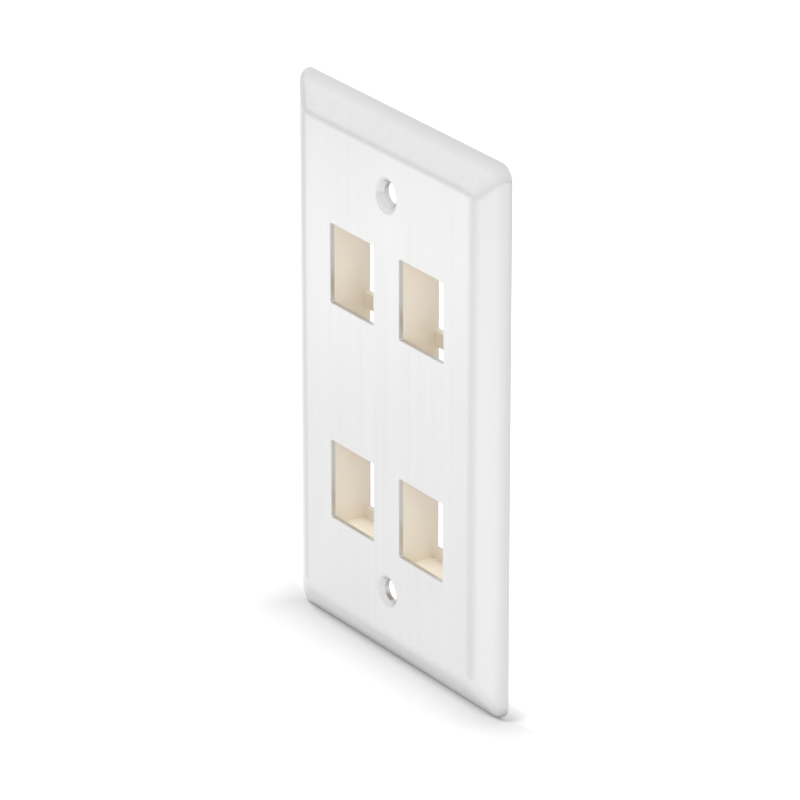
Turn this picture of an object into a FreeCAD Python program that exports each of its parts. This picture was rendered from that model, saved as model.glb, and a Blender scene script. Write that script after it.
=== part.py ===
"""Keystone wall plate: a pressed stainless faceplate with two moulded port inserts behind it.

Frame: millimetres, +Z up, +X to the right seen from the front.  The plate lies on a wall
whose surface is the plane y = 0, with the front towards -Y.  The origin is the centre of
the screw pattern on that plane.
"""
import FreeCAD, Part
import math
import os
import re
import Sketcher

doc = FreeCAD.newDocument("keystone_faceplate")

# ---------------------------------------------------------------- driving dimensions

SIZES = [
    # faceplate
    ("plate_width", 69.85, "outside width of the plate at the wall"),
    ("plate_height", 114.3, "outside height of the plate at the wall"),
    ("plate_depth", 4.6, "front face above the wall"),
    ("sheet_gauge", 1.0, "thickness of the stainless sheet"),
    ("rim_rise", 1.0, "wall to the corner where rim and bevel would meet"),
    ("bevel_inset", 6.4, "outside of the plate to the corner where bevel and face would meet"),
    ("rim_corner", 3.2, "plan radius of the plate's corners at the wall"),
    ("hip_bend", 6.0, "outer radius of the ridge where two bevels meet"),
    ("rim_bend", 1.6, "outer bend radius between rim and bevel"),
    ("face_bend", 5.0, "outer bend radius between bevel and face"),
    ("punch_roll", 0.12, "edge that the punch rolls in round the port openings"),
    # screw dimples
    ("screw_spacing", 83.3, "distance between the two screw holes"),
    ("screw_hole", 4.4, "diameter of a screw hole"),
    ("dimple_width", 8.1, "diameter of the pressed dimple at the face"),
    ("dimple_sink", 1.3, "depth of the dimple's floor below the face"),
    ("dimple_brow", 1.6, "radius that leads from the face into the dimple"),
    ("dimple_bowl", 0.8, "radius between the dimple's cone and its floor"),
    ("dimple_slope", 45.0, "slope of the dimple's cone, in degrees from the face"),
    # ports
    ("port_width", 14.8, "width of a port opening"),
    ("port_height", 16.6, "height of a port opening"),
    ("port_corner", 0.5, "corner radius of a port opening"),
    ("port_across", 23.5, "distance between the ports of a row"),
    ("port_down", 45.72, "distance between the two rows"),
    ("port_drop", 1.3, "middle of the four ports below the middle of the screws"),
    # port inserts
    ("insert_depth", 8.5, "depth of an insert behind the sheet"),
    ("flange_gauge", 1.6, "thickness of an insert's flange"),
    ("flange_side", 3.0, "flange beyond the socket block on the left and right"),
    ("flange_end", 1.0, "flange beyond the socket block above and below"),
    ("flange_corner", 2.0, "corner radius of the flange"),
    ("socket_wall", 1.25, "wall of the socket block"),
    ("block_corner", 1.2, "corner radius of the socket block"),
    ("hook_recess", 2.0, "groove beyond the port opening for the jack's fixed hook"),
    ("latch_recess", 7.0, "room beyond the port opening for the jack's latch arm"),
    ("latch_sill", 0.3, "how far the latch bar stands into the port opening"),
    ("latch_bar", 3.3, "height of the latch bar"),
    ("bar_gauge", 1.3, "thickness of the latch bar and of the hook lip"),
    ("gusset_gauge", 1.0, "thickness of a gusset"),
    ("gusset_reach", 2.4, "length of a gusset along the flange"),
    ("gusset_rise", 3.4, "height of a gusset up the socket wall"),
    ("gusset_margin", 4.5, "gusset to the end of the socket block"),
    # studs and push-on nuts
    ("stud_shank", 2.4, "diameter of a stud"),
    ("stud_length", 3.6, "length of a stud behind the sheet"),
    ("stud_collar", 3.6, "diameter of the weld collar at a stud's foot"),
    ("collar_gauge", 0.6, "thickness of the weld collar"),
    ("stud_tip", 0.3, "chamfer at a stud's end"),
    ("stud_clearance", 0.15, "gap between a stud and the insert's hole, on the radius"),
    ("nut_width", 6.0, "diameter of a push-on nut"),
    ("nut_margin", 0.3, "gap round a nut, to the socket block and to the end of its tab"),
    ("nut_gauge", 0.35, "thickness of a push-on nut's steel"),
    ("nut_ring", 0.9, "width of the nut's flat outer ring"),
    ("nut_crown", 0.5, "how far the nut's prongs rise above its ring"),
    ("nut_slot", 0.8, "width of the slots between the prongs at the ring"),
    ("nut_prongs", 4.0, "number of prongs"),
]

sheet = doc.addObject("Spreadsheet::Sheet", "Sizes")
for row, (name, value, meaning) in enumerate(SIZES, start=1):
    sheet.set("A%d" % row, name)
    sheet.set("B%d" % row, str(value))
    sheet.set("C%d" % row, meaning)
    sheet.setAlias("B%d" % row, name)
doc.recompute()


def linked(formula):
    """A formula in plain size names, written as the document's expressions need it."""
    return re.sub(r"[a-z]+_[a-z]+", lambda name: "Sizes." + name.group(0), formula)


def amount(formula):
    """The present value of a formula."""
    return float(sheet.evalExpression(linked(formula)))


def tie(item, **formulas):
    """Bind properties of an object to formulas of the sheet."""
    for field, formula in formulas.items():
        item.setExpression(field.replace("__", "."), linked(formula))


NEAR = 1e-4  # mm, well under any real size
SIDES = (("left", "-"), ("right", "+"))


# ---------------------------------------------------------------- sketch helpers

def body(label):
    made = doc.addObject("PartDesign::Body", label)
    made.Label = label
    return made


def plane(owner, role):
    return [item for item in owner.Origin.OriginFeatures if item.Role == role][0]


def sketch(owner, name, role="XZ_Plane", lift="0"):
    """A sketch on one of the body's own planes, lifted along the plane's normal."""
    made = owner.newObject("Sketcher::SketchObject", name)
    made.AttachmentSupport = [(plane(owner, role), "")]
    made.MapMode = "FlatFace"
    tie(made, AttachmentOffset__Base__z=lift)
    return made


def name_size(drawing, constraint, name, formula):
    index = drawing.addConstraint(constraint)
    drawing.renameConstraint(index, name)
    drawing.setExpression("Constraints." + name, linked(formula))


def place_point(drawing, geo, pos, name, right=("+", "0"), up=("+", "0")):
    """Hold a point at signed distances from the sketch's origin."""
    for axis, kind, (side, formula) in (("x", "DistanceX", right), ("y", "DistanceY", up)):
        if formula == "0":
            on_axis = -2 if axis == "x" else -1
            drawing.addConstraint(Sketcher.Constraint("PointOnObject", geo, pos, on_axis))
            continue
        ends = (-1, 1, geo, pos) if side == "+" else (geo, pos, -1, 1)
        gap = Sketcher.Constraint(kind, *ends, amount(formula))
        name_size(drawing, gap, name + "_" + axis, formula)


def signed(side_and_formula):
    side, formula = side_and_formula
    return amount(formula) if side == "+" else -amount(formula)


def turned(x, y, angle):
    """A point of a sketch's plane, turned about the sketch's origin."""
    return FreeCAD.Vector(x * math.cos(angle) - y * math.sin(angle),
                          x * math.sin(angle) + y * math.cos(angle), 0)


def rectangle(drawing, name, width, height, right=("+", "0"), up=("+", "0")):
    """A rectangle with square corners, its middle held at the place given."""
    half_w = amount(width) / 2
    half_h = amount(height) / 2
    cx = signed(right)
    cy = signed(up)
    spots = [FreeCAD.Vector(cx + x * half_w, cy + y * half_h, 0)
             for x, y in ((-1, -1), (1, -1), (1, 1), (-1, 1))]
    lines = [drawing.addGeometry(Part.LineSegment(spots[side], spots[(side + 1) % 4]), False)
             for side in range(4)]
    middle = drawing.addGeometry(Part.Point(FreeCAD.Vector(cx, cy, 0)), True)
    for side, kind in enumerate(("Horizontal", "Vertical", "Horizontal", "Vertical")):
        drawing.addConstraint(Sketcher.Constraint("Coincident", lines[side - 1], 2, lines[side], 1))
        drawing.addConstraint(Sketcher.Constraint(kind, lines[side]))
    drawing.addConstraint(Sketcher.Constraint("Symmetric", lines[0], 1, lines[2], 1, middle, 1))
    across = Sketcher.Constraint("DistanceX", lines[0], 1, lines[0], 2, 2 * half_w)
    name_size(drawing, across, name + "_width", width)
    tall = Sketcher.Constraint("DistanceY", lines[1], 1, lines[1], 2, 2 * half_h)
    name_size(drawing, tall, name + "_height", height)
    place_point(drawing, middle, 1, name + "_middle", right, up)


def rounded_rectangle(drawing, name, width, height, corner, right=("+", "0"), up=("+", "0")):
    """A rectangle with rounded corners, its middle held at the place given."""
    half_w = amount(width) / 2
    half_h = amount(height) / 2
    radius = amount(corner)
    middle = FreeCAD.Vector(signed(right), signed(up), 0)
    lines = []
    arcs = []
    # Each side runs anticlockwise to the corner that follows it, the bottom side first.
    for side in range(4):
        turn = side * math.pi / 2
        along, across = (half_w, half_h) if side % 2 == 0 else (half_h, half_w)
        ends = [middle + turned(x, y, turn)
                for x, y in ((radius - along, -across), (along - radius, -across))]
        lines.append(drawing.addGeometry(Part.LineSegment(*ends), False))
        hub = middle + turned(along - radius, radius - across, turn)
        ring = Part.Circle(hub, FreeCAD.Vector(0, 0, 1), radius)
        arc = Part.ArcOfCircle(ring, turn - math.pi / 2, turn)
        arcs.append(drawing.addGeometry(arc, False))
    centre = drawing.addGeometry(Part.Point(middle), True)
    for side, kind in enumerate(("Horizontal", "Vertical", "Horizontal", "Vertical")):
        drawing.addConstraint(Sketcher.Constraint("Tangent", lines[side], 2, arcs[side], 1))
        drawing.addConstraint(Sketcher.Constraint("Tangent", arcs[side - 1], 2, lines[side], 1))
        drawing.addConstraint(Sketcher.Constraint(kind, lines[side]))
    for arc in arcs[1:]:
        drawing.addConstraint(Sketcher.Constraint("Equal", arcs[0], arc))
    drawing.addConstraint(Sketcher.Constraint("Symmetric", arcs[0], 3, arcs[2], 3, centre, 1))
    name_size(drawing, Sketcher.Constraint("Radius", arcs[0], radius), name + "_corner", corner)
    across = Sketcher.Constraint("DistanceX", lines[3], 1, lines[1], 1, 2 * half_w)
    name_size(drawing, across, name + "_width", width)
    tall = Sketcher.Constraint("DistanceY", lines[0], 1, lines[2], 1, 2 * half_h)
    name_size(drawing, tall, name + "_height", height)
    place_point(drawing, centre, 1, name + "_middle", right, up)


def circle(drawing, name, diameter, right=("+", "0"), up=("+", "0")):
    centre = FreeCAD.Vector(signed(right), signed(up), 0)
    ring = Part.Circle(centre, FreeCAD.Vector(0, 0, 1), amount(diameter) / 2)
    geo = drawing.addGeometry(ring, False)
    name_size(drawing, Sketcher.Constraint("Diameter", geo, amount(diameter)), name + "_size", diameter)
    place_point(drawing, geo, 3, name + "_middle", right, up)


def pad(owner, drawing, name, length, backwards=False):
    made = owner.newObject("PartDesign::Pad", name)
    made.Profile = drawing
    made.Reversed = backwards
    tie(made, Length=length)
    doc.recompute()
    return made


def pocket(owner, drawing, name, length=None, backwards=False):
    """Cut a sketch into the body, through all of it when no depth is given."""
    made = owner.newObject("PartDesign::Pocket", name)
    made.Profile = drawing
    made.Reversed = backwards
    if length is None:
        made.Type = "ThroughAll"
        made.Midplane = True
    else:
        tie(made, Length=length)
    doc.recompute()
    return made


def polygon(drawing, name, points):
    """A closed outline of straight lines through points at signed distances."""
    spots = [FreeCAD.Vector(signed(right), signed(up), 0) for right, up in points]
    lines = [drawing.addGeometry(Part.LineSegment(spot, spots[(index + 1) % len(spots)]), False)
             for index, spot in enumerate(spots)]
    for index, (right, up) in enumerate(points):
        drawing.addConstraint(Sketcher.Constraint("Coincident", lines[index - 1], 2, lines[index], 1))
        place_point(drawing, lines[index], 1, "%s_%d" % (name, index), right, up)


def positive(points):
    """Points given as plain formulas, all to the right of the origin and above it."""
    return [(("+", right), ("+", up)) for right, up in points]


def spin(owner, drawing, name, kind="PartDesign::Revolution"):
    """Turn a sketch all the way round its own horizontal axis."""
    made = owner.newObject(kind, name)
    made.Profile = drawing
    made.ReferenceAxis = (drawing, ["H_Axis"])
    made.Angle = 360
    doc.recompute()
    return made


def mirror(owner, originals, name, role):
    made = owner.newObject("PartDesign::Mirrored", name)
    made.Originals = originals
    made.MirrorPlane = (plane(owner, role), [""])
    owner.Tip = made
    doc.recompute()
    return made


def edge_names(shape, wanted):
    return ["Edge%d" % index for index, edge in enumerate(shape.Edges, start=1) if wanted(edge)]


def lies_at(edge, y):
    """Whether an edge lies wholly at one depth."""
    return abs(edge.BoundBox.YMin - y) < NEAR and abs(edge.BoundBox.YMax - y) < NEAR


def fillet(owner, base, edges, name, radius):
    made = owner.newObject("PartDesign::Fillet", name)
    made.Base = (base, edges)
    tie(made, Radius=radius)
    doc.recompute()
    return made


# ---------------------------------------------------------------- pressed faceplate

# Slope of the bevel, and where the inner surface of the sheet turns, so that the sheet is
# one gauge thick across its rim, its bevel and its face.
BEVEL_SLOPE = "atan((plate_depth - rim_rise) / bevel_inset)"
INNER_RISE = "(rim_rise - sheet_gauge * tan((90 deg - " + BEVEL_SLOPE + ") / 2))"
INNER_SHIFT = "(sheet_gauge * tan(" + BEVEL_SLOPE + " / 2))"
# Radius at which the dimple's back cone, one gauge behind the front one, would meet the face.
BACK_CONE_EDGE = ("dimple_width / 2 + dimple_brow / tan(dimple_slope * 1 deg)"
                  " - (dimple_brow - sheet_gauge) / sin(dimple_slope * 1 deg)")


def pressed_form(owner, size):
    """A block with a rim, four bevels and a flat face, every bend between them rounded."""
    outline = sketch(owner, owner.Name + "Outline")
    rounded_rectangle(outline, "rim", size["width"], size["height"], size["rim_corner"])
    block = pad(owner, outline, owner.Name + "Block", size["depth"])
    for name, role, span in (("Side", "XY_Plane", size["width"]), ("End", "YZ_Plane", size["height"])):
        drawing = sketch(owner, owner.Name + name + "Bevels", role)
        for side in ("+", "-"):
            corners = bevel_triangle(size, span, side)
            if name == "End":
                corners = [(deep, across) for across, deep in corners]
            polygon(drawing, "right" if side == "+" else "left", corners)
        block = pocket(owner, drawing, drawing.Name + "Cut")
    hips = edge_names(block.Shape, is_hip)
    block = fillet(owner, block, hips, owner.Name + "Hips", size["hip_bend"])
    rim = edge_names(block.Shape, rim_test(block.Shape))
    block = fillet(owner, block, rim, owner.Name + "RimBend", size["rim_bend"])
    level = -amount(size["depth"])
    face = edge_names(block.Shape, lambda edge: lies_at(edge, level))
    fillet(owner, block, face, owner.Name + "FaceBend", size["face_bend"])
    return owner


def bevel_triangle(size, span, side):
    """Corners of what a bevel takes off, as distances from the middle and above the wall.

    The slope runs on past the block at both ends by the overrun.
    """
    slope = "((" + size["depth"] + " - " + size["rise"] + ") / " + size["inset"] + ")"
    overrun = "rim_rise / 2"
    outside = (side, "(" + span + ") / 2 + " + overrun)
    inside = (side, "(" + span + ") / 2 - " + size["inset"] + " - " + overrun)
    foot = ("-", size["rise"] + " - " + overrun + " * " + slope)
    top = ("-", size["depth"] + " + " + overrun + " * " + slope)
    return [(outside, foot), (inside, top), (outside, top)]


def is_hip(edge):
    """Whether an edge is a ridge between two bevels: it runs along none of the axes."""
    box = edge.BoundBox
    straight = isinstance(edge.Curve, Part.Line)
    return straight and min(box.XLength, box.YLength, box.ZLength) > NEAR


def rim_test(shape):
    """A test for the edges where the walls that stand on the wall plane meet the bevels."""
    walls = [face for face in shape.Faces
             if abs(face.BoundBox.YMax) < NEAR and face.BoundBox.YLength > NEAR]
    around = [edge for face in walls for edge in face.Edges]

    def meets_bevel(edge):
        box = edge.BoundBox
        level = box.YMax < -NEAR and box.XLength + box.ZLength > NEAR
        return level and any(edge.isSame(other) for other in around)

    return meets_bevel


def dish_sketch(plate, name, skin, edge):
    """Half section of the dimple, from its axis out, one skin thickness below the front side.

    The sketch's x runs from the face into the plate and its y is the radius.  On the front a
    round brow leads from the face into the cone, and on the back the cone starts sharp.
    """
    drawing = sketch(plate, name, "YZ_Plane")
    tie(drawing, AttachmentOffset__Base__x="-plate_depth", AttachmentOffset__Base__y="screw_spacing / 2")
    turn = math.radians(amount("dimple_slope"))
    brow = amount("dimple_brow")
    bowl = amount("dimple_bowl + " + skin)
    floor = amount("dimple_sink + " + skin)
    round_brow = skin == "0"

    # Where the cone starts, and where it turns into the round bowl at its foot.
    corner = FreeCAD.Vector(0, amount(edge), 0)
    brow_hub = corner + FreeCAD.Vector(brow, 0, 0)
    cone_top = corner
    if round_brow:
        cone_top = brow_hub - FreeCAD.Vector(brow * math.cos(turn), brow * math.sin(turn), 0)
    cone_deep = floor - bowl * (1 - math.cos(turn))
    cone_low = FreeCAD.Vector(cone_deep, cone_top.y - (cone_deep - cone_top.x) / math.tan(turn), 0)
    bowl_hub = FreeCAD.Vector(floor - bowl, cone_low.y - bowl * math.sin(turn), 0)
    bowl_end = FreeCAD.Vector(floor, bowl_hub.y, 0)
    axis_end = FreeCAD.Vector(floor, 0, 0)
    centre = FreeCAD.Vector(0, 0, 0)

    def line(start, stop):
        return drawing.addGeometry(Part.LineSegment(start, stop), False)

    def arc(hub, radius, start, stop):
        ring = Part.Circle(hub, FreeCAD.Vector(0, 0, 1), radius)
        return drawing.addGeometry(Part.ArcOfCircle(ring, start, stop), False)

    def join(kind, *ends):
        drawing.addConstraint(Sketcher.Constraint(kind, *ends))

    face_line = line(centre, corner)
    cone_line = line(cone_top, cone_low)
    bowl_arc = arc(bowl_hub, bowl, 0, turn)
    floor_line = line(bowl_end, axis_end)
    axis_line = line(axis_end, centre)
    join("Coincident", face_line, 1, -1, 1)
    join("Vertical", face_line)
    if round_brow:
        brow_arc = arc(brow_hub, brow, math.pi, math.pi + turn)
        join("Tangent", face_line, 2, brow_arc, 1)
        join("Tangent", brow_arc, 2, cone_line, 1)
        name_size(drawing, Sketcher.Constraint("Radius", brow_arc, brow), "brow", "dimple_brow")
    else:
        join("Coincident", face_line, 2, cone_line, 1)
    join("Tangent", cone_line, 2, bowl_arc, 2)
    join("Tangent", bowl_arc, 1, floor_line, 1)
    join("Vertical", floor_line)
    join("Coincident", floor_line, 2, axis_line, 1)
    join("Coincident", axis_line, 2, face_line, 1)
    join("Horizontal", axis_line)
    name_size(drawing, Sketcher.Constraint("DistanceY", face_line, 1, face_line, 2, corner.y),
              "edge", edge)
    name_size(drawing, Sketcher.Constraint("DistanceX", axis_line, 2, axis_line, 1, floor),
              "floor", "dimple_sink + " + skin)
    name_size(drawing, Sketcher.Constraint("Radius", bowl_arc, bowl), "bowl", "dimple_bowl + " + skin)
    name_size(drawing, Sketcher.Constraint("Angle", face_line, 1, cone_line, 2, turn),
              "slope", "dimple_slope * 1 deg")
    return drawing


def screw_dimples(plate):
    """The sheet pressed in round each screw hole, so that an oval screw head sits in it."""
    back = dish_sketch(plate, "DimpleBackSection", "sheet_gauge", BACK_CONE_EDGE)
    form = spin(plate, back, "DimpleBack")
    front = dish_sketch(plate, "DimpleFrontSection", "0", "dimple_width / 2")
    dish = spin(plate, front, "DimpleFront", "PartDesign::Groove")
    drawing = sketch(plate, "ScrewHoleOutline")
    circle(drawing, "hole", "screw_hole", up=("+", "screw_spacing / 2"))
    hole = pocket(plate, drawing, "ScrewHole")
    mirror(plate, [form, dish, hole], "LowerDimple", "XY_Plane")


def port_openings(plate):
    """Four punched openings, with the slight edge that the punch rolls in on the front."""
    drawing = sketch(plate, "PortOutlines")
    tie(drawing, AttachmentOffset__Base__y="-port_drop")
    for row, up in (("upper", "+"), ("lower", "-")):
        for side, right in SIDES:
            rounded_rectangle(drawing, row + "_" + side, "port_width", "port_height", "port_corner",
                              right=(right, "port_across / 2"), up=(up, "port_down / 2"))
    cut = pocket(plate, drawing, "PortOpenings")
    face = -amount("plate_depth")
    reach_x = amount("(port_across + port_width) / 2 + port_corner")
    reach_z = amount("(port_down + port_height) / 2 + port_drop + port_corner")

    def beside_port(edge):
        middle = edge.BoundBox.Center
        return lies_at(edge, face) and abs(middle.x) < reach_x and abs(middle.z) < reach_z

    roll = plate.newObject("PartDesign::Chamfer", "PunchRoll")
    roll.Base = (cut, edge_names(cut.Shape, beside_port))
    tie(roll, Size="punch_roll")
    doc.recompute()


def faceplate():
    """The sheet: the outer form less the inner one, one gauge inside it all over."""
    outer = {"width": "plate_width", "height": "plate_height", "depth": "plate_depth",
             "rise": "rim_rise", "inset": "bevel_inset", "rim_corner": "rim_corner",
             "hip_bend": "hip_bend", "rim_bend": "rim_bend", "face_bend": "face_bend"}
    inner = {field: formula + " - sheet_gauge" for field, formula in outer.items()}
    inner["width"] = "plate_width - 2 * sheet_gauge"
    inner["height"] = "plate_height - 2 * sheet_gauge"
    inner["rise"] = INNER_RISE
    inner["inset"] = "(bevel_inset + " + INNER_SHIFT + " - sheet_gauge)"
    plate = body("faceplate")
    pressed_form(plate, outer)
    hollow = pressed_form(body("PlateHollow"), inner)
    shell = plate.newObject("PartDesign::Boolean", "Shell")
    shell.Type = "Cut"
    shell.addObject(hollow)
    doc.recompute()
    screw_dimples(plate)
    port_openings(plate)
    return plate


# ---------------------------------------------------------------- moulded port inserts

BLOCK_WIDTH = "port_across + port_width + 2 * socket_wall"
BLOCK_HEIGHT = "port_height + hook_recess + latch_recess + 2 * socket_wall"
# The socket block reaches further on the latch side, so its middle lies above the ports'.
BLOCK_MIDDLE = "(latch_recess - hook_recess) / 2"
# Tabs hold the studs: one beyond the latch side over the right socket, the other beyond the
# hook side under the left one.  A tab is as wide as its nut and the margin round it.
TAB_WIDTH = "nut_width + 2 * nut_margin"
LATCH_STUD = "port_height / 2 + latch_recess + socket_wall + nut_margin + nut_width / 2"
HOOK_STUD = "port_height / 2 + hook_recess + socket_wall + nut_margin + nut_width / 2"
STUD_PLACES = (("Latch", ("+", "port_across / 2"), ("+", LATCH_STUD)),
               ("Hook", ("-", "port_across / 2"), ("-", HOOK_STUD)))


def socket_pair(owner, name, height, middle, depth=None):
    """The same cut for both ports of an insert."""
    drawing = sketch(owner, name + "Outline")
    for side, right in SIDES:
        rectangle(drawing, side, "port_width", height, right=(right, "port_across / 2"), up=middle)
    return pocket(owner, drawing, name, depth)


def gussets(owner):
    """Triangular ribs that brace the socket block's ends against the flange."""
    made = []
    root = "(" + BLOCK_WIDTH + ") / 2"
    sunk = root + " - socket_wall / 2"
    for name, lift in (
            ("Latch", BLOCK_MIDDLE + " + (" + BLOCK_HEIGHT + ") / 2 - gusset_margin"),
            ("Hook", BLOCK_MIDDLE + " - (" + BLOCK_HEIGHT + ") / 2 + gusset_margin")):
        drawing = sketch(owner, name + "GussetOutline", "XY_Plane", lift)
        polygon(drawing, "rib", positive([
            (sunk, "flange_gauge / 2"), (root + " + gusset_reach", "flange_gauge / 2"),
            (root + " + gusset_reach", "flange_gauge"), (root, "flange_gauge + gusset_rise"),
            (sunk, "flange_gauge + gusset_rise")]))
        rib = pad(owner, drawing, name + "Gusset", "gusset_gauge")
        rib.Midplane = True
        made.append(rib)
    mirror(owner, made, "LeftGussets", "YZ_Plane")


def port_insert(label):
    """A moulding with two keystone sockets side by side: hook groove below, latch bar above.

    Its own y runs back from the face that lies against the sheet.  A tab for a stud stands
    above the right socket and another below the left one, so that two inserts, one turned
    upside down, pass each other in the middle of the plate.
    """
    insert = body(label)
    outline = sketch(insert, "FlangeOutline")
    rounded_rectangle(outline, "flange", BLOCK_WIDTH + " + 2 * flange_side",
                      BLOCK_HEIGHT + " + 2 * flange_end", "flange_corner", up=("+", BLOCK_MIDDLE))
    pad(insert, outline, "Flange", "flange_gauge", backwards=True)
    for name, right, up in STUD_PLACES:
        outline = sketch(insert, name + "TabOutline")
        rounded_rectangle(outline, "tab", TAB_WIDTH, "2 * (" + TAB_WIDTH + ")", "flange_corner",
                          right=right, up=(up[0], up[1] + " - (" + TAB_WIDTH + ") / 2"))
        pad(insert, outline, name + "Tab", "flange_gauge", backwards=True)

    outline = sketch(insert, "BlockOutline")
    rounded_rectangle(outline, "block", BLOCK_WIDTH, BLOCK_HEIGHT, "block_corner",
                      up=("+", BLOCK_MIDDLE))
    pad(insert, outline, "SocketBlock", "insert_depth", backwards=True)
    gussets(insert)

    socket_pair(insert, "JackRoom", "port_height + hook_recess + latch_recess",
                ("+", BLOCK_MIDDLE), "insert_depth - bar_gauge")
    socket_pair(insert, "JackMouth", "port_height - latch_sill", ("-", "latch_sill / 2"))
    socket_pair(insert, "LatchWindow", "latch_recess + latch_sill - latch_bar",
                ("+", "(port_height + latch_recess - latch_sill + latch_bar) / 2"))

    core = sketch(insert, "CoreOutline", lift="-insert_depth")
    rectangle(core, "core", "port_across - port_width - 2 * socket_wall",
              BLOCK_HEIGHT + " - 2 * socket_wall", up=("+", BLOCK_MIDDLE))
    pocket(insert, core, "Core", "insert_depth - flange_gauge", backwards=True)

    for name, diameter, depth in (
            ("StudHole", "stud_shank + 2 * stud_clearance", None),
            ("CollarSeat", "stud_collar + 2 * stud_clearance", "collar_gauge + stud_clearance")):
        drawing = sketch(insert, name + "Outline")
        for end, right, up in STUD_PLACES:
            circle(drawing, end, diameter, right=right, up=up)
        pocket(insert, drawing, name, depth)
    return insert


# ---------------------------------------------------------------- studs and push-on nuts

SHEET_BACK = "sheet_gauge - plate_depth"
ROW_HEIGHTS = {"upper": "port_down / 2 - port_drop", "lower": "-port_down / 2 - port_drop"}


def weld_stud():
    """A stud with a weld collar at its foot; its own y runs from the sheet to its tip."""
    stud = body("weld_stud")
    section = sketch(stud, "StudSection", "YZ_Plane")
    polygon(section, "stud", positive([
        ("0", "0"), ("0", "stud_collar / 2"), ("collar_gauge", "stud_collar / 2"),
        ("collar_gauge", "stud_shank / 2"), ("stud_length - stud_tip", "stud_shank / 2"),
        ("stud_length", "stud_shank / 2 - stud_tip"), ("stud_length", "0")]))
    spin(stud, section, "StudTurned")
    return stud


def push_nut():
    """A spring-steel push-on nut: a flat ring whose inner prongs rise to grip the stud."""
    nut = body("push_nut")
    section = sketch(nut, "NutSection", "YZ_Plane")
    polygon(section, "nut", positive([
        ("0", "nut_width / 2 - nut_ring"), ("0", "nut_width / 2"), ("nut_gauge", "nut_width / 2"),
        ("nut_gauge", "nut_width / 2 - nut_ring"), ("nut_gauge + nut_crown", "stud_shank / 2"),
        ("nut_crown", "stud_shank / 2")]))
    spin(nut, section, "NutPressed")
    outline = sketch(nut, "SlotOutline")
    slot_end = ("+", "nut_width / 2 - nut_ring")
    polygon(outline, "slot", [(("+", "0"), ("+", "0")), (("+", "nut_slot / 2"), slot_end),
                              (("-", "nut_slot / 2"), slot_end)])
    slot = pocket(nut, outline, "Slot")
    ring = nut.newObject("PartDesign::PolarPattern", "Slots")
    ring.Originals = [slot]
    ring.Axis = (nut.Origin.OriginFeatures[1], [""])
    ring.Angle = 360
    tie(ring, Occurrences="nut_prongs")
    nut.Tip = ring
    doc.recompute()
    return nut


def fastener_group(label, fastener, y):
    """Four of one fastener, two for each insert, kept together as separate solids.

    The upper insert is turned upside down, so its studs lie the other way from its middle.
    """
    places = []
    for row, turned in (("upper", True), ("lower", False)):
        for end, (side_x, x), (side_z, z) in STUD_PLACES:
            place = doc.addObject("App::Link", label + row.title() + end)
            place.LinkedObject = fastener
            flip = {"+": "-", "-": "+"} if turned else {"+": "+", "-": "-"}
            row_height = ROW_HEIGHTS[row]
            tie(place, Placement__Base__x=flip[side_x] + "(" + x + ")", Placement__Base__y=y,
                Placement__Base__z=row_height + flip[side_z] + "(" + z + ")")
            places.append(place)
    group = doc.addObject("Part::Compound", label)
    group.Label = label
    group.Links = places
    return group


# ---------------------------------------------------------------- assembly

nodes = [faceplate()]

upper = port_insert("upper_port_insert")
upper.Placement.Rotation = FreeCAD.Rotation(FreeCAD.Vector(0, 1, 0), 180)
tie(upper, Placement__Base__y=SHEET_BACK, Placement__Base__z=ROW_HEIGHTS["upper"])
lower = port_insert("lower_port_insert")
tie(lower, Placement__Base__y=SHEET_BACK, Placement__Base__z=ROW_HEIGHTS["lower"])
nodes += [upper, lower]

nodes.append(fastener_group("insert_studs", weld_stud(), SHEET_BACK))
nodes.append(fastener_group("stud_push_nuts", push_nut(), SHEET_BACK + " + flange_gauge"))
doc.recompute()

for item in doc.Objects:
    if "Invalid" in item.State or "Error" in item.State:
        raise RuntimeError("%s: %s" % (item.Name, item.getStatusString()))
for node in nodes:
    if node.Shape.isNull() or not node.Shape.isValid():
        raise RuntimeError(node.Label + " has no valid shape")

os.makedirs("parts", exist_ok=True)
for node in nodes:
    node.Shape.exportStep("parts/%s.step" % node.Label)
    print("%-18s %d solids %9.2f mm3" % (node.Label, len(node.Shape.Solids), node.Shape.Volume))
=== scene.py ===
"""Keystone wall plate: a brushed stainless faceplate over two ivory socket inserts.

Metres, in the frame of the solids: +Z up, the front towards -Y, the wall plane at y = 0.
"""
import math

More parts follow.
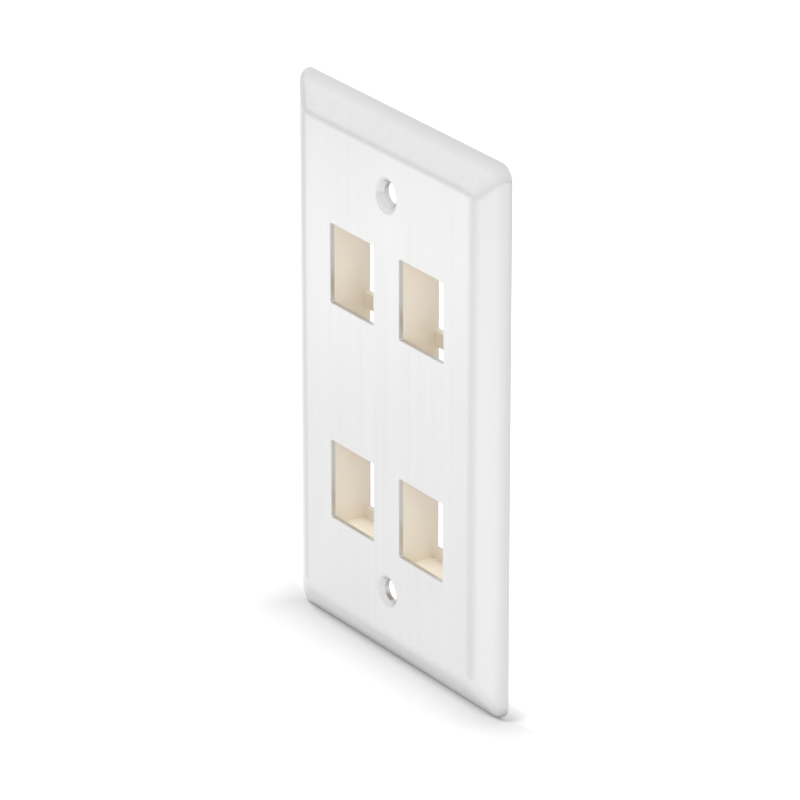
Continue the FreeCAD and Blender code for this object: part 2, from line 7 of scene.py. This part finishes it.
import bmesh
import bpy
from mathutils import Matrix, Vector


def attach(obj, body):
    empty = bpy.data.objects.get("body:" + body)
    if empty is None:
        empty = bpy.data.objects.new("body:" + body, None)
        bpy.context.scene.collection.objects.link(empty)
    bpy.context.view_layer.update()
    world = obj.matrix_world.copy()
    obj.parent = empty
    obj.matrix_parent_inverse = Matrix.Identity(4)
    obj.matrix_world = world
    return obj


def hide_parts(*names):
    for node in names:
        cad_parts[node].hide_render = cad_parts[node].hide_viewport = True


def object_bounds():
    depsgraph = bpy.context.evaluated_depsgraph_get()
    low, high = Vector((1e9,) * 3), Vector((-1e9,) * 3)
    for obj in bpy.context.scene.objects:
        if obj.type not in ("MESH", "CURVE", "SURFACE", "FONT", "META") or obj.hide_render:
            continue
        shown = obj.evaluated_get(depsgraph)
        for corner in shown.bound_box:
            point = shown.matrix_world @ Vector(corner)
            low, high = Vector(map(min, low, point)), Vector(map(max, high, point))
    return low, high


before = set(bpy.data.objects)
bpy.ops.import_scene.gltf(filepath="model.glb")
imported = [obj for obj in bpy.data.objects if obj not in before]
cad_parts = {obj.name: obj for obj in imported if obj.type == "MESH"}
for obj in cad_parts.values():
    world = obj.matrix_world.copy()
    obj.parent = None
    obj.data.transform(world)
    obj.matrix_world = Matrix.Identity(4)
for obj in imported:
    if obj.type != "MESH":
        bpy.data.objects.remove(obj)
solid_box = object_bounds()
MM = 0.001


def show(name, data):
    """Put a mesh, lamp or camera in the scene."""
    made = bpy.data.objects.new(name, data)
    bpy.context.scene.collection.objects.link(made)
    return made


# ---------------------------------------------------------------- finishes

class Nodes:
    """The shader tree of a material or a world, and the short cuts that wire it."""

    def __init__(self, owner, output="ShaderNodeOutputMaterial"):
        self.owner = owner
        owner.use_nodes = True
        self.tree = owner.node_tree
        self.tree.nodes.clear()
        self.out = self.node(output)

    def feed(self, socket, value):
        if hasattr(value, "is_output"):
            self.tree.links.new(value, socket)
        else:
            socket.default_value = value

    def node(self, kind, inputs=(), **settings):
        made = self.tree.nodes.new(kind)
        for field, value in settings.items():
            setattr(made, field, value)
        for socket, value in dict(inputs).items():
            self.feed(made.inputs[socket], value)
        return made

    def number(self, operation, *values):
        return self.node("ShaderNodeMath", dict(enumerate(values)), operation=operation).outputs[0]

    def vector(self, operation, *values):
        return self.node("ShaderNodeVectorMath", dict(enumerate(values)),
                         operation=operation).outputs["Vector"]

    def scaled(self, colour, factor):
        return self.node("ShaderNodeVectorMath", {0: colour, "Scale": factor},
                         operation="SCALE").outputs["Vector"]

    def axes(self, vector):
        return self.node("ShaderNodeSeparateXYZ", {0: vector}).outputs

    def surface(self, shader):
        self.tree.links.new(shader, self.out.inputs["Surface"])
        return self.owner

    def place(self, stretch=(1, 1, 1)):
        """Object coordinates in millimetres, squeezed along each axis."""
        spot = self.node("ShaderNodeTexCoord").outputs["Object"]
        scale = [share / MM for share in stretch]
        return self.node("ShaderNodeMapping", {"Vector": spot, "Scale": scale}).outputs["Vector"]

    def noise(self, stretch, detail=3.0, rough=0.5):
        return self.node("ShaderNodeTexNoise", {
            "Vector": self.place(stretch), "Scale": 1.0, "Detail": detail,
            "Roughness": rough}).outputs["Fac"]

    def span(self, value, low, high, start=0.3, stop=0.7):
        """Go from low to high while the value goes from start to stop, and no further."""
        return self.node("ShaderNodeMapRange", {
            "Value": value, "From Min": start, "From Max": stop,
            "To Min": low, "To Max": high}).outputs["Result"]

    def blend(self, amount, first, second):
        made = self.node("ShaderNodeMix", data_type="RGBA")
        for socket, value in ((0, amount), (6, first), (7, second)):
            self.feed(made.inputs[socket], value)
        return made.outputs[2]

    def seen(self):
        """Light path outputs, and 1 for a ray that comes by gloss or through something."""
        path = self.node("ShaderNodeLightPath").outputs
        return path, self.number("MAXIMUM", path["Is Glossy Ray"], path["Is Transmission Ray"])


def material(name):
    return Nodes(bpy.data.materials.new(name))


# Places on the sheet, in mm from the middle of the plate or in front of the wall.
FOLD_LINE = 28.4              # folds along the sides
FOLD_END = 49.0               # where those folds end
FOLD_CORE = 0.3               # half width of a fold's darkest painted shade
FOLD_WIDTH = 1.6              # half width of all the painted shade along a fold
RIM_SPAN = (-2.2, -0.9)       # where the sheet turns into the rim
PUNCHED_ACROSS = (24.0, 25.0)     # the punched openings lie within these
PUNCHED_UP = (46.5, 47.5)
SQUARE_ON = (0.55, 0.97)      # how squarely a face looks forward: a punched edge, the flat sheet
# The share of the sheet's tone that is left there under the painted shade.
FOLD_SHADE = 0.88
RIM_SHADE = 0.86
CUT_SHADE = 0.80


def painted_shade_places(steel):
    """Painted shade on the sheet beside its plain face: darker folds, rim and punched edges."""
    at = steel.axes(steel.place())
    across = steel.number("ABSOLUTE", at["X"])
    up = steel.number("ABSOLUTE", at["Z"])
    off_fold = steel.number("ABSOLUTE", steel.number("SUBTRACT", across, FOLD_LINE))
    past_end = steel.span(up, 0.0, FOLD_WIDTH, FOLD_END, FOLD_END + 1.0)
    # painted shade along the side folds, standing for a darker reflection there
    fold = steel.span(steel.number("ADD", off_fold, past_end), FOLD_SHADE, 1.0,
                      FOLD_CORE, FOLD_WIDTH)
    # painted shade on the rim, standing for its darker reflection
    rim = steel.span(at["Y"], 1.0, RIM_SHADE, *RIM_SPAN)
    # painted shade on the sideways faces of the punched openings and dimples
    facing = steel.axes(steel.node("ShaderNodeTexCoord").outputs["Normal"])["Y"]
    edge_on = steel.span(steel.number("ABSOLUTE", facing), 1.0, 0.0, *SQUARE_ON)
    within = steel.number("MULTIPLY", steel.span(across, 1.0, 0.0, *PUNCHED_ACROSS),
                          steel.span(up, 1.0, 0.0, *PUNCHED_UP))
    cut = steel.span(steel.number("MULTIPLY", within, edge_on), 1.0, CUT_SHADE, 0.0, 1.0)
    return steel.number("MULTIPLY", steel.number("MULTIPLY", fold, rim), cut)


def brushed_stainless():
    """Stainless sheet, brushed lengthwise, with long faint streaks over a fine grain."""
    steel = material("stainless sheet")
    grain = steel.noise((9.0, 9.0, 0.14), 4.0, 0.6)
    streaks = steel.noise((0.55, 0.55, 0.012), 3.0, 0.55)
    cloud = steel.noise((0.03, 0.03, 0.02), 2.0)
    both = steel.number("ADD", grain, streaks)
    tone = steel.blend(steel.span(both, 0.0, 1.0, 0.75, 1.25),
                       (0.812, 0.81, 0.81, 1), (0.842, 0.84, 0.84, 1))
    rough = steel.number("ADD", steel.span(grain, 0.27, 0.37), steel.span(cloud, -0.02, 0.03))
    bump = steel.node("ShaderNodeBump", {"Height": grain, "Strength": 0.12, "Distance": 0.03 * MM})
    # the base colour carries painted shade at the folds, rim and punched edges
    shader = steel.node("ShaderNodeBsdfPrincipled", {
        "Base Color": steel.scaled(tone, painted_shade_places(steel)), "Roughness": rough,
        "Metallic": 1.0, "Anisotropic": 0.6, "Normal": bump.outputs["Normal"]})
    return steel.surface(shader.outputs["BSDF"])


def ivory_plastic():
    """Satin moulded plastic with a soft mottle and the faint texture of the mould."""
    resin = material("ivory plastic")
    mottle = resin.noise((0.12, 0.12, 0.12))
    pebble = resin.noise((6.0, 6.0, 6.0), 2.0)
    tone = resin.blend(resin.span(mottle, 0.0, 1.0),
                       (0.92, 0.845, 0.725, 1), (0.95, 0.875, 0.76, 1))
    bump = resin.node("ShaderNodeBump", {"Height": pebble, "Strength": 0.15, "Distance": 0.02 * MM})
    shader = resin.node("ShaderNodeBsdfPrincipled", {
        "Base Color": tone, "Roughness": resin.span(pebble, 0.42, 0.55), "IOR": 1.5,
        "Subsurface Weight": 0.15, "Subsurface Scale": 0.8 * MM,
        "Subsurface Radius": (1.0, 0.7, 0.4), "Normal": bump.outputs["Normal"]})
    return resin.surface(shader.outputs["BSDF"])


def fastener_metal(name, stretch, dark, light, rough):
    """Bare or plated metal whose tone and gloss vary over one pattern."""
    metal = material(name)
    pattern = metal.noise(stretch)
    shader = metal.node("ShaderNodeBsdfPrincipled", {
        "Base Color": metal.blend(metal.span(pattern, 0.0, 1.0), dark, light),
        "Roughness": metal.span(pattern, *rough), "Metallic": 1.0})
    return metal.surface(shader.outputs["BSDF"])


FINISHES = {
    "stainless_sheet": brushed_stainless(),
    "ivory_plastic": ivory_plastic(),
    # drawn rings round the stud, and the spangle of zinc on the spring
    "stud_steel": fastener_metal("stud steel", (2.0, 14.0, 2.0), (0.55, 0.55, 0.56, 1),
                                 (0.68, 0.68, 0.69, 1), (0.3, 0.42)),
    "spring_steel": fastener_metal("zinc spring steel", (1.6, 1.6, 1.6), (0.5, 0.52, 0.55, 1),
                                   (0.66, 0.68, 0.7, 1), (0.25, 0.4))}


# ---------------------------------------------------------------- pieces

CREASE = math.radians(30)         # a sharper fold than this is shaded as an edge
MOULD_CREASE = math.radians(40)   # and one sharper than this is rounded on a moulding
MOULD_ROUND = 0.12 * MM           # by this much
FLAT = math.radians(1)            # a fold less than this is no fold
SAME_PLACE = 1e-7


def clean_mesh(node, flats=False):
    """A merged copy of a solid's mesh, smooth but for its creases."""
    shape = bmesh.new()
    shape.from_mesh(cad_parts[node].data)
    bmesh.ops.remove_doubles(shape, verts=shape.verts, dist=SAME_PLACE)
    if flats:
        bmesh.ops.dissolve_limit(shape, angle_limit=FLAT, verts=shape.verts, edges=shape.edges)
    for face in shape.faces:
        face.smooth = True
    for edge in shape.edges:
        if len(edge.link_faces) == 2 and edge.calc_face_angle(0) > CREASE:
            edge.smooth = False
    return shape


def object_from(name, shape, slot):
    mesh = bpy.data.meshes.new(name)
    shape.to_mesh(mesh)
    shape.free()
    mesh.materials.clear()
    mesh.materials.append(FINISHES[slot])
    return show(name, mesh)


def dress(piece, node):
    """Even out the shading of the flats and let the piece stand for its solid."""
    weight = piece.modifiers.new("Flat faces", "WEIGHTED_NORMAL")
    weight.keep_sharp = True
    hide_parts(node)
    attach(piece, "root")


def round_edges(piece):
    edge = piece.modifiers.new("Moulded edges", "BEVEL")
    edge.width = MOULD_ROUND
    edge.segments = 2
    edge.limit_method = "ANGLE"
    edge.angle_limit = MOULD_CREASE


def separate_bodies(shape):
    """The loose bodies of a mesh, each as a list of its vertices."""
    taken = set()
    bodies = []
    for start in shape.verts:
        if start in taken:
            continue
        taken.add(start)
        body = [start]
        for vert in body:
            for edge in vert.link_edges:
                other = edge.other_vert(vert)
                if other not in taken:
                    taken.add(other)
                    body.append(other)
        bodies.append(body)
    return bodies


def layout_tree():
    """Node tree that sets one fastener at each place and gives it its finish."""
    tree = bpy.data.node_groups.new("fastener layout", "GeometryNodeTree")
    for label, kind in (("Places", "Geometry"), ("Fastener", "Object"), ("Finish", "Material")):
        tree.interface.new_socket(label, in_out="INPUT", socket_type="NodeSocket" + kind)
    tree.interface.new_socket("Fasteners", in_out="OUTPUT", socket_type="NodeSocketGeometry")
    given = tree.nodes.new("NodeGroupInput").outputs
    pattern = tree.nodes.new("GeometryNodeObjectInfo")
    spread = tree.nodes.new("GeometryNodeInstanceOnPoints")
    solid = tree.nodes.new("GeometryNodeRealizeInstances")
    finish = tree.nodes.new("GeometryNodeSetMaterial")
    result = tree.nodes.new("NodeGroupOutput")
    for start, end in ((given["Fastener"], pattern.inputs["Object"]),
                       (given["Places"], spread.inputs["Points"]),
                       (pattern.outputs["Geometry"], spread.inputs["Instance"]),
                       (spread.outputs["Instances"], solid.inputs["Geometry"]),
                       (solid.outputs["Geometry"], finish.inputs["Geometry"]),
                       (given["Finish"], finish.inputs["Material"]),
                       (finish.outputs["Geometry"], result.inputs["Fasteners"])):
        tree.links.new(start, end)
    return tree


def fasteners(node, slot, tree):
    """One fastener cleaned up, then repeated at the places of its solids."""
    shape = clean_mesh(node)
    bodies = separate_bodies(shape)
    places = [sum((vert.co for vert in body), Vector()) / len(body) for body in bodies]
    others = [vert for body in bodies[1:] for vert in body]
    bmesh.ops.delete(shape, geom=others, context="VERTS")
    bmesh.ops.translate(shape, verts=shape.verts, vec=-places[0])
    pattern = object_from(node + "_pattern", shape, slot)
    spots = bpy.data.meshes.new(node + "_places")
    spots.from_pydata(places, [], [])
    piece = show(node + "_dressed", spots)
    layout = piece.modifiers.new("Layout", "NODES")
    layout.node_group = tree
    values = {"Fastener": pattern, "Finish": FINISHES[slot]}
    for socket in tree.interface.items_tree:
        if socket.in_out == "INPUT" and socket.name in values:
            layout[socket.identifier] = values[socket.name]
    ready = piece.evaluated_get(bpy.context.evaluated_depsgraph_get())
    mesh = bpy.data.meshes.new_from_object(ready)
    piece.modifiers.clear()
    piece.data = mesh
    bpy.data.objects.remove(pattern)
    dress(piece, node)


def sheet(node, slot):
    dress(object_from(node + "_dressed", clean_mesh(node), slot), node)


def moulding(node, slot):
    piece = object_from(node + "_dressed", clean_mesh(node, flats=True), slot)
    round_edges(piece)
    dress(piece, node)


sheet("faceplate", "stainless_sheet")
moulding("upper_port_insert", "ivory_plastic")
moulding("lower_port_insert", "ivory_plastic")
fastener_layout = layout_tree()
fasteners("insert_studs", "stud_steel", fastener_layout)
fasteners("stud_push_nuts", "spring_steel", fastener_layout)


# ---------------------------------------------------------------- floor, light and camera

WORLD_LIGHT = 0.5                # the world's level as light; it is 1 where it is seen
FLOOR_TONE = (0.9, 0.9, 0.9, 1)
FLOOR_TONE_IN_GLOSS = (0.6, 0.6, 0.6, 1)
FLOOR_REACH = 5.0                # metres to each side
FOOT = (0.0345, 0.001, 10.0)     # half the plate's foot; its height is of no account
SHADE_REACH = 0.0042             # metres over which the painted shade by the foot fades
FOOT_SHADE = 0.08                # painted shade: how much darker the floor's own tone is at the foot
FOOT_SHADE_IN_GLOSS = 0.68       # painted shade: how much less it glows there in gloss
VIEW_GLOW = 0.62                 # the floor's own glow in view, away from the plate
VIEW_GLOW_AHEAD = (0.002, 0.035)     # metres from the foot over which it rises, painting shade by the foot
VIEW_GLOW_BEHIND = (0.0, 0.008)      # and behind the wall plane, where the full glow paints light over the plate's shadow
GLOSS_GLOW = 0.46                # the floor's own glow in gloss
POOL_PLACE = (-0.20, -0.165)     # middle of the painted pool of light ahead of the plate, seen only in gloss
POOL_GLOW = 0.26                 # what the pool adds at its middle
POOL_REACH = 0.13                # metres from its middle to its edge


def studio_world():
    """White where it is seen, directly or in gloss, and a plain level as light."""
    world = bpy.data.worlds.new("studio")
    bpy.context.scene.world = world
    sky = Nodes(world, "ShaderNodeOutputWorld")
    path, in_gloss = sky.seen()
    seen = sky.number("MAXIMUM", in_gloss, path["Is Camera Ray"])
    level = sky.span(seen, WORLD_LIGHT, 1.0, 0.0, 1.0)
    light = sky.node("ShaderNodeBackground", {"Color": (1, 1, 1, 1), "Strength": level})
    sky.surface(light.outputs[0])


def floor_glow(paint, foot_shade_mask, away, spot, level):
    """What the floor gives off by itself: in view, and more in gloss from the painted pool of
    light; both are held back by the foot as painted shade.
    """
    path, in_gloss = paint.seen()
    behind = paint.axes(spot)["Y"]
    # painted shade in view by the foot, and painted light over the shadow behind the wall
    lit = paint.number("MAXIMUM", paint.span(away, 0.0, VIEW_GLOW, *VIEW_GLOW_AHEAD),
                       paint.span(behind, 0.0, VIEW_GLOW, *VIEW_GLOW_BEHIND))
    in_view = paint.number("MULTIPLY", path["Is Camera Ray"], lit)
    # painted pool of light on the floor, for gloss rays only
    off_pool = paint.node("ShaderNodeVectorMath", {0: spot, 1: POOL_PLACE + (level,)},
                          operation="DISTANCE").outputs["Value"]
    pool = paint.span(off_pool, GLOSS_GLOW + POOL_GLOW, GLOSS_GLOW, 0.0, POOL_REACH)
    # painted shade by the foot, in gloss
    shaded = paint.number("MULTIPLY_ADD", foot_shade_mask, -FOOT_SHADE_IN_GLOSS, 1.0)
    return paint.number("MULTIPLY_ADD", in_gloss, paint.number("MULTIPLY", pool, shaded), in_view)


def pale_floor(level):
    """A pale matt floor, white in view and in gloss but for the contact shade by the plate, partly
    painted shade by its foot.
    """
    paint = material("pale floor")
    spot = paint.node("ShaderNodeTexCoord").outputs["Object"]
    past_foot = paint.vector("SUBTRACT", paint.vector("ABSOLUTE", spot), FOOT)
    outside = paint.vector("MAXIMUM", past_foot, (0.0, 0.0, 0.0))
    away = paint.node("ShaderNodeVectorMath", {0: outside}, operation="LENGTH").outputs["Value"]
    # painted shade: strongest at the foot, fading with distance from it
    foot_shade_mask = paint.number("EXPONENT", paint.number("MULTIPLY", away, -1 / SHADE_REACH))
    tone = paint.scaled(paint.blend(paint.seen()[1], FLOOR_TONE, FLOOR_TONE_IN_GLOSS),
                        paint.number("MULTIPLY_ADD", foot_shade_mask, -FOOT_SHADE, 1.0))
    matt = paint.node("ShaderNodeBsdfDiffuse", {"Color": tone})
    lift = paint.node("ShaderNodeEmission",
                      {"Strength": floor_glow(paint, foot_shade_mask, away, spot, level)})
    both = paint.node("ShaderNodeAddShader", {0: matt.outputs[0], 1: lift.outputs[0]})
    mesh = bpy.data.meshes.new("floor")
    corners = ((-1, -1), (1, -1), (1, 1), (-1, 1))
    mesh.from_pydata([(x * FLOOR_REACH, y * FLOOR_REACH, level) for x, y in corners],
                     [], [(0, 1, 2, 3)])
    mesh.materials.append(paint.surface(both.outputs[0]))
    show("floor", mesh)


def look_along(holder, way):
    holder.rotation_mode = "QUATERNION"
    holder.rotation_quaternion = way.to_track_quat("-Z", "Y")


def softbox(name, place, aim, size, watts):
    """A square soft lamp that isn't mirrored in the sheet."""
    lamp = bpy.data.lights.new(name, "AREA")
    lamp.shape = "SQUARE"
    lamp.size = size
    lamp.energy = watts
    holder = show(name, lamp)
    holder.visible_glossy = False
    holder.location = place
    look_along(holder, Vector(aim) - Vector(place))


def direction(azimuth, elevation):
    """Unit vector from the object: azimuth 0 is straight in front, 90 is to its right."""
    a = math.radians(azimuth)
    e = math.radians(elevation)
    return Vector((math.sin(a) * math.cos(e), -math.cos(a) * math.cos(e), math.sin(e)))


def camera(back, distance, lens, aim):
    seen = bpy.data.cameras.new("camera")
    seen.lens = lens
    seen.sensor_width = 36.0
    seen.clip_start = 0.05
    seen.clip_end = 50.0
    holder = show("camera", seen)
    holder.location = aim + back * distance
    look_along(holder, -back)
    bpy.context.scene.camera = holder


low, high = solid_box
studio_world()
pale_floor(low.z)
softbox("key", (-0.05, -0.22, 0.5), (-0.05, -0.12, low.z), 0.22, 1.3)
softbox("back", (0.1, 0.3, 0.5), (0.08, 0.16, low.z), 0.3, 0.5)
softbox("side", direction(62, 16) * 0.6, (0.0, 0.0, 0.0), 0.3, 0.9)
camera(direction(55.41, 22.95), 1.1577, 270.6, Vector((5.05, -4.8, 1.05)) * MM)

scene = bpy.context.scene
scene.view_settings.view_transform = "Standard"
